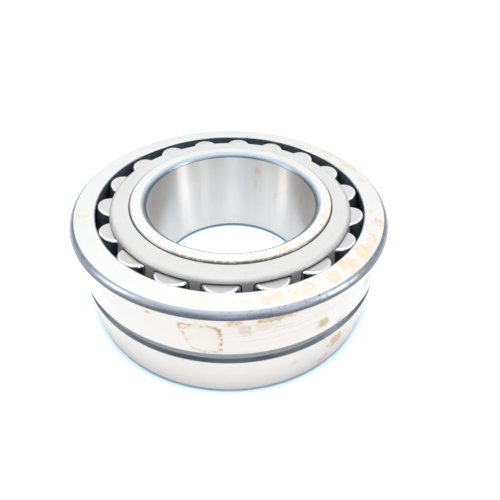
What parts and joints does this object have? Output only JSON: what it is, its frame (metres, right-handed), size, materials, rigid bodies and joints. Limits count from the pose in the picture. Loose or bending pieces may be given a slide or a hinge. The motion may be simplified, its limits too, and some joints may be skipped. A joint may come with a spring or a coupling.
{
  "type": "spherical roller bearing",
  "caption": "Self-aligning spherical roller bearing with a cylindrical bore, pressed-steel window cages, a loose guide ring and a lubrication groove round the outer ring.",
  "frame": {"origin": "centre of the bearing, where its swivel and rotation axes cross", "axes": "+Z along the shaft axis; the bearing lies on its -Z side face; the picture looks along +Y and down"},
  "size_m": [0.2, 0.2, 0.0698],
  "materials": {
    "ring_steel": "ground bearing steel, stained, with dark heat-treated corners and groove",
    "cage_steel": "satin pressed steel",
    "roller_steel": "polished bearing steel",
    "guide_steel": "ground steel"
  },
  "bodies": {
    "outer_ring": {"outer_ring": "ring_steel"},
    "guide_ring": {"guide_ring": "guide_steel"},
    "inner_ring": {"inner_ring": "ring_steel"},
    "cage_upper": {"cage_upper": "cage_steel"},
    "cage_lower": {"cage_lower": "cage_steel"},
    "roller_upper_01": {"roller_upper_01": "roller_steel"},
    "roller_upper_02": {"roller_upper_02": "roller_steel"},
    "roller_upper_03": {"roller_upper_03": "roller_steel"},
    "roller_upper_04": {"roller_upper_04": "roller_steel"},
    "roller_upper_05": {"roller_upper_05": "roller_steel"},
    "roller_upper_06": {"roller_upper_06": "roller_steel"},
    "roller_upper_07": {"roller_upper_07": "roller_steel"},
    "roller_upper_08": {"roller_upper_08": "roller_steel"},
    "roller_upper_09": {"roller_upper_09": "roller_steel"},
    "roller_upper_10": {"roller_upper_10": "roller_steel"},
    "roller_upper_11": {"roller_upper_11": "roller_steel"},
    "roller_upper_12": {"roller_upper_12": "roller_steel"},
    "roller_upper_13": {"roller_upper_13": "roller_steel"},
    "roller_upper_14": {"roller_upper_14": "roller_steel"},
    "roller_upper_15": {"roller_upper_15": "roller_steel"},
    "roller_upper_16": {"roller_upper_16": "roller_steel"},
    "roller_upper_17": {"roller_upper_17": "roller_steel"},
    "roller_upper_18": {"roller_upper_18": "roller_steel"},
    "roller_lower_01": {"roller_lower_01": "roller_steel"},
    "roller_lower_02": {"roller_lower_02": "roller_steel"},
    "roller_lower_03": {"roller_lower_03": "roller_steel"},
    "roller_lower_04": {"roller_lower_04": "roller_steel"},
    "roller_lower_05": {"roller_lower_05": "roller_steel"},
    "roller_lower_06": {"roller_lower_06": "roller_steel"},
    "roller_lower_07": {"roller_lower_07": "roller_steel"},
    "roller_lower_08": {"roller_lower_08": "roller_steel"},
    "roller_lower_09": {"roller_lower_09": "roller_steel"},
    "roller_lower_10": {"roller_lower_10": "roller_steel"},
    "roller_lower_11": {"roller_lower_11": "roller_steel"},
    "roller_lower_12": {"roller_lower_12": "roller_steel"},
    "roller_lower_13": {"roller_lower_13": "roller_steel"},
    "roller_lower_14": {"roller_lower_14": "roller_steel"},
    "roller_lower_15": {"roller_lower_15": "roller_steel"},
    "roller_lower_16": {"roller_lower_16": "roller_steel"},
    "roller_lower_17": {"roller_lower_17": "roller_steel"},
    "roller_lower_18": {"roller_lower_18": "roller_steel"}
  },
  "joints": [
    {"name": "self_alignment", "type": "hinge", "parent": "outer_ring", "child": "guide_ring", "pos_m": [0, 0, 0], "axis": [1, 0, 0], "range_deg": [-2.5, 2.5]},
    {"name": "inner_ring_spin", "type": "hinge", "parent": "guide_ring", "child": "inner_ring", "pos_m": [0, 0, 0], "axis": [0, 0, 1], "continuous": true},
    {"name": "cage_upper_spin", "type": "hinge", "parent": "guide_ring", "child": "cage_upper", "pos_m": [0, 0, 0], "axis": [0, 0, 1], "continuous": true},
    {"name": "cage_lower_spin", "type": "hinge", "parent": "guide_ring", "child": "cage_lower", "pos_m": [0, 0, 0], "axis": [0, 0, 1], "continuous": true},
    {"name": "roller_upper_01_spin", "type": "hinge", "parent": "cage_upper", "child": "roller_upper_01", "pos_m": [0.07781, 0.00763, 0.01877], "axis": [-0.2323, -0.0228, 0.9724], "continuous": true},
    {"name": "roller_upper_02_spin", "type": "hinge", "parent": "cage_upper", "child": "roller_upper_02", "pos_m": [0.0705, 0.03378, 0.01877], "axis": [-0.2105, -0.1009, 0.9724], "continuous": true},
    {"name": "roller_upper_03_spin", "type": "hinge", "parent": "cage_upper", "child": "roller_upper_03", "pos_m": [0.0547, 0.05586, 0.01877], "axis": [-0.1633, -0.1668, 0.9724], "continuous": true},
    {"name": "roller_upper_04_spin", "type": "hinge", "parent": "cage_upper", "child": "roller_upper_04", "pos_m": [0.0323, 0.0712, 0.01877], "axis": [-0.0964, -0.2126, 0.9724], "continuous": true},
    {"name": "roller_upper_05_spin", "type": "hinge", "parent": "cage_upper", "child": "roller_upper_05", "pos_m": [0.006, 0.07795, 0.01877], "axis": [-0.0179, -0.2328, 0.9724], "continuous": true},
    {"name": "roller_upper_06_spin", "type": "hinge", "parent": "cage_upper", "child": "roller_upper_06", "pos_m": [-0.02102, 0.0753, 0.01877], "axis": [0.0628, -0.2248, 0.9724], "continuous": true},
    {"name": "roller_upper_07_spin", "type": "hinge", "parent": "cage_upper", "child": "roller_upper_07", "pos_m": [-0.04551, 0.06357, 0.01877], "axis": [0.1359, -0.1898, 0.9724], "continuous": true},
    {"name": "roller_upper_08_spin", "type": "hinge", "parent": "cage_upper", "child": "roller_upper_08", "pos_m": [-0.06451, 0.04417, 0.01877], "axis": [0.1926, -0.1319, 0.9724], "continuous": true},
    {"name": "roller_upper_09_spin", "type": "hinge", "parent": "cage_upper", "child": "roller_upper_09", "pos_m": [-0.07572, 0.01944, 0.01877], "axis": [0.2261, -0.0581, 0.9724], "continuous": true},
    {"name": "roller_upper_10_spin", "type": "hinge", "parent": "cage_upper", "child": "roller_upper_10", "pos_m": [-0.07781, -0.00763, 0.01877], "axis": [0.2323, 0.0228, 0.9724], "continuous": true},
    {"name": "roller_upper_11_spin", "type": "hinge", "parent": "cage_upper", "child": "roller_upper_11", "pos_m": [-0.0705, -0.03378, 0.01877], "axis": [0.2105, 0.1009, 0.9724], "continuous": true},
    {"name": "roller_upper_12_spin", "type": "hinge", "parent": "cage_upper", "child": "roller_upper_12", "pos_m": [-0.0547, -0.05586, 0.01877], "axis": [0.1633, 0.1668, 0.9724], "continuous": true},
    {"name": "roller_upper_13_spin", "type": "hinge", "parent": "cage_upper", "child": "roller_upper_13", "pos_m": [-0.0323, -0.0712, 0.01877], "axis": [0.0964, 0.2126, 0.9724], "continuous": true},
    {"name": "roller_upper_14_spin", "type": "hinge", "parent": "cage_upper", "child": "roller_upper_14", "pos_m": [-0.006, -0.07795, 0.01877], "axis": [0.0179, 0.2328, 0.9724], "continuous": true},
    {"name": "roller_upper_15_spin", "type": "hinge", "parent": "cage_upper", "child": "roller_upper_15", "pos_m": [0.02102, -0.0753, 0.01877], "axis": [-0.0628, 0.2248, 0.9724], "continuous": true},
    {"name": "roller_upper_16_spin", "type": "hinge", "parent": "cage_upper", "child": "roller_upper_16", "pos_m": [0.04551, -0.06357, 0.01877], "axis": [-0.1359, 0.1898, 0.9724], "continuous": true},
    {"name": "roller_upper_17_spin", "type": "hinge", "parent": "cage_upper", "child": "roller_upper_17", "pos_m": [0.06451, -0.04417, 0.01877], "axis": [-0.1926, 0.1319, 0.9724], "continuous": true},
    {"name": "roller_upper_18_spin", "type": "hinge", "parent": "cage_upper", "child": "roller_upper_18", "pos_m": [0.07572, -0.01944, 0.01877], "axis": [-0.2261, 0.0581, 0.9724], "continuous": true},
    {"name": "roller_lower_01_spin", "type": "hinge", "parent": "cage_lower", "child": "roller_lower_01", "pos_m": [0.0753, 0.02102, -0.01877], "axis": [0.2248, 0.0628, 0.9724], "continuous": true},
    {"name": "roller_lower_02_spin", "type": "hinge", "parent": "cage_lower", "child": "roller_lower_02", "pos_m": [0.07795, -0.006, -0.01877], "axis": [0.2328, -0.0179, 0.9724], "continuous": true},
    {"name": "roller_lower_03_spin", "type": "hinge", "parent": "cage_lower", "child": "roller_lower_03", "pos_m": [0.0712, -0.0323, -0.01877], "axis": [0.2126, -0.0964, 0.9724], "continuous": true},
    {"name": "roller_lower_04_spin", "type": "hinge", "parent": "cage_lower", "child": "roller_lower_04", "pos_m": [0.05586, -0.0547, -0.01877], "axis": [0.1668, -0.1633, 0.9724], "continuous": true},
    {"name": "roller_lower_05_spin", "type": "hinge", "parent": "cage_lower", "child": "roller_lower_05", "pos_m": [0.03378, -0.0705, -0.01877], "axis": [0.1009, -0.2105, 0.9724], "continuous": true},
    {"name": "roller_lower_06_spin", "type": "hinge", "parent": "cage_lower", "child": "roller_lower_06", "pos_m": [0.00763, -0.07781, -0.01877], "axis": [0.0228, -0.2323, 0.9724], "continuous": true},
    {"name": "roller_lower_07_spin", "type": "hinge", "parent": "cage_lower", "child": "roller_lower_07", "pos_m": [-0.01944, -0.07572, -0.01877], "axis": [-0.0581, -0.2261, 0.9724], "continuous": true},
    {"name": "roller_lower_08_spin", "type": "hinge", "parent": "cage_lower", "child": "roller_lower_08", "pos_m": [-0.04417, -0.06451, -0.01877], "axis": [-0.1319, -0.1926, 0.9724], "continuous": true},
    {"name": "roller_lower_09_spin", "type": "hinge", "parent": "cage_lower", "child": "roller_lower_09", "pos_m": [-0.06357, -0.04551, -0.01877], "axis": [-0.1898, -0.1359, 0.9724], "continuous": true},
    {"name": "roller_lower_10_spin", "type": "hinge", "parent": "cage_lower", "child": "roller_lower_10", "pos_m": [-0.0753, -0.02102, -0.01877], "axis": [-0.2248, -0.0628, 0.9724], "continuous": true},
    {"name": "roller_lower_11_spin", "type": "hinge", "parent": "cage_lower", "child": "roller_lower_11", "pos_m": [-0.07795, 0.006, -0.01877], "axis": [-0.2328, 0.0179, 0.9724], "continuous": true},
    {"name": "roller_lower_12_spin", "type": "hinge", "parent": "cage_lower", "child": "roller_lower_12", "pos_m": [-0.0712, 0.0323, -0.01877], "axis": [-0.2126, 0.0964, 0.9724], "continuous": true},
    {"name": "roller_lower_13_spin", "type": "hinge", "parent": "cage_lower", "child": "roller_lower_13", "pos_m": [-0.05586, 0.0547, -0.01877], "axis": [-0.1668, 0.1633, 0.9724], "continuous": true},
    {"name": "roller_lower_14_spin", "type": "hinge", "parent": "cage_lower", "child": "roller_lower_14", "pos_m": [-0.03378, 0.0705, -0.01877], "axis": [-0.1009, 0.2105, 0.9724], "continuous": true},
    {"name": "roller_lower_15_spin", "type": "hinge", "parent": "cage_lower", "child": "roller_lower_15", "pos_m": [-0.00763, 0.07781, -0.01877], "axis": [-0.0228, 0.2323, 0.9724], "continuous": true},
    {"name": "roller_lower_16_spin", "type": "hinge", "parent": "cage_lower", "child": "roller_lower_16", "pos_m": [0.01944, 0.07572, -0.01877], "axis": [0.0581, 0.2261, 0.9724], "continuous": true},
    {"name": "roller_lower_17_spin", "type": "hinge", "parent": "cage_lower", "child": "roller_lower_17", "pos_m": [0.04417, 0.06451, -0.01877], "axis": [0.1319, 0.1926, 0.9724], "continuous": true},
    {"name": "roller_lower_18_spin", "type": "hinge", "parent": "cage_lower", "child": "roller_lower_18", "pos_m": [0.06357, 0.04551, -0.01877], "axis": [0.1898, 0.1359, 0.9724], "continuous": true}
  ],
  "couplings": [
    {"joint": "cage_upper_spin", "follows": "inner_ring_spin", "ratio": 0.43284},
    {"joint": "cage_lower_spin", "follows": "inner_ring_spin", "ratio": 0.43284},
    {"joint": "roller_upper_01_spin", "follows": "inner_ring_spin", "ratio": -3.5541},
    {"joint": "roller_upper_02_spin", "follows": "inner_ring_spin", "ratio": -3.5541},
    {"joint": "roller_upper_03_spin", "follows": "inner_ring_spin", "ratio": -3.5541},
    {"joint": "roller_upper_04_spin", "follows": "inner_ring_spin", "ratio": -3.5541},
    {"joint": "roller_upper_05_spin", "follows": "inner_ring_spin", "ratio": -3.5541},
    {"joint": "roller_upper_06_spin", "follows": "inner_ring_spin", "ratio": -3.5541},
    {"joint": "roller_upper_07_spin", "follows": "inner_ring_spin", "ratio": -3.5541},
    {"joint": "roller_upper_08_spin", "follows": "inner_ring_spin", "ratio": -3.5541},
    {"joint": "roller_upper_09_spin", "follows": "inner_ring_spin", "ratio": -3.5541},
    {"joint": "roller_upper_10_spin", "follows": "inner_ring_spin", "ratio": -3.5541},
    {"joint": "roller_upper_11_spin", "follows": "inner_ring_spin", "ratio": -3.5541},
    {"joint": "roller_upper_12_spin", "follows": "inner_ring_spin", "ratio": -3.5541},
    {"joint": "roller_upper_13_spin", "follows": "inner_ring_spin", "ratio": -3.5541},
    {"joint": "roller_upper_14_spin", "follows": "inner_ring_spin", "ratio": -3.5541},
    {"joint": "roller_upper_15_spin", "follows": "inner_ring_spin", "ratio": -3.5541},
    {"joint": "roller_upper_16_spin", "follows": "inner_ring_spin", "ratio": -3.5541},
    {"joint": "roller_upper_17_spin", "follows": "inner_ring_spin", "ratio": -3.5541},
    {"joint": "roller_upper_18_spin", "follows": "inner_ring_spin", "ratio": -3.5541},
    {"joint": "roller_lower_01_spin", "follows": "inner_ring_spin", "ratio": -3.5541},
    {"joint": "roller_lower_02_spin", "follows": "inner_ring_spin", "ratio": -3.5541},
    {"joint": "roller_lower_03_spin", "follows": "inner_ring_spin", "ratio": -3.5541},
    {"joint": "roller_lower_04_spin", "follows": "inner_ring_spin", "ratio": -3.5541},
    {"joint": "roller_lower_05_spin", "follows": "inner_ring_spin", "ratio": -3.5541},
    {"joint": "roller_lower_06_spin", "follows": "inner_ring_spin", "ratio": -3.5541},
    {"joint": "roller_lower_07_spin", "follows": "inner_ring_spin", "ratio": -3.5541},
    {"joint": "roller_lower_08_spin", "follows": "inner_ring_spin", "ratio": -3.5541},
    {"joint": "roller_lower_09_spin", "follows": "inner_ring_spin", "ratio": -3.5541},
    {"joint": "roller_lower_10_spin", "follows": "inner_ring_spin", "ratio": -3.5541},
    {"joint": "roller_lower_11_spin", "follows": "inner_ring_spin", "ratio": -3.5541},
    {"joint": "roller_lower_12_spin", "follows": "inner_ring_spin", "ratio": -3.5541},
    {"joint": "roller_lower_13_spin", "follows": "inner_ring_spin", "ratio": -3.5541},
    {"joint": "roller_lower_14_spin", "follows": "inner_ring_spin", "ratio": -3.5541},
    {"joint": "roller_lower_15_spin", "follows": "inner_ring_spin", "ratio": -3.5541},
    {"joint": "roller_lower_16_spin", "follows": "inner_ring_spin", "ratio": -3.5541},
    {"joint": "roller_lower_17_spin", "follows": "inner_ring_spin", "ratio": -3.5541},
    {"joint": "roller_lower_18_spin", "follows": "inner_ring_spin", "ratio": -3.5541}
  ]
}
